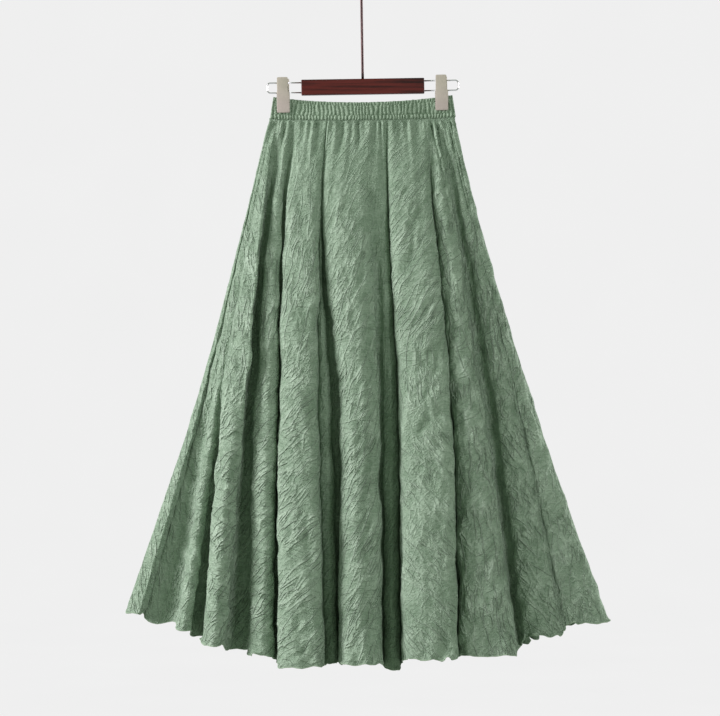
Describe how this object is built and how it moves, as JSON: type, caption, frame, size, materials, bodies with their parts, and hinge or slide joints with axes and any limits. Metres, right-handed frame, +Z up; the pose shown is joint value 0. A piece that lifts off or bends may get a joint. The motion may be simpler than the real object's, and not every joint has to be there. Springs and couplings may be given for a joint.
{
  "type": "maxi skirt on a clip hanger",
  "caption": "Gathered crinkled-cotton maxi skirt with a ruched elastic waistband, hanging by its clips from a wooden bar hanger.",
  "frame": {"origin": "inside top of the hanger's hook, where it rests on a rail", "axes": "+Z up, along the skirt's length; the skirt's front faces -Y; +X to the right as seen from the front, along the hanger's bar"},
  "size_m": [0.7619, 0.2173, 1.1263],
  "materials": {
    "sage_cotton": "crinkled cotton, matte",
    "sage_ruching": "ruched cotton over elastic, matte",
    "mahogany": "dark stained, satin varnish",
    "dark_bronze": "dark bronze, satin",
    "chrome_wire": "bright",
    "satin_nickel": "satin nickel plate"
  },
  "bodies": {
    "root": {"skirt_front": "sage_cotton", "skirt_back": "sage_cotton", "waistband_front": "sage_ruching", "waistband_back": "sage_ruching", "hanger_bar": "mahogany", "hanger_hook": "dark_bronze", "rail_left": "chrome_wire", "rail_right": "chrome_wire", "clip_front_left": "satin_nickel", "clip_back_left": "satin_nickel", "clip_spring_left": "chrome_wire", "clip_front_right": "satin_nickel", "clip_back_right": "satin_nickel", "clip_spring_right": "chrome_wire"}
  },
  "joints": []
}
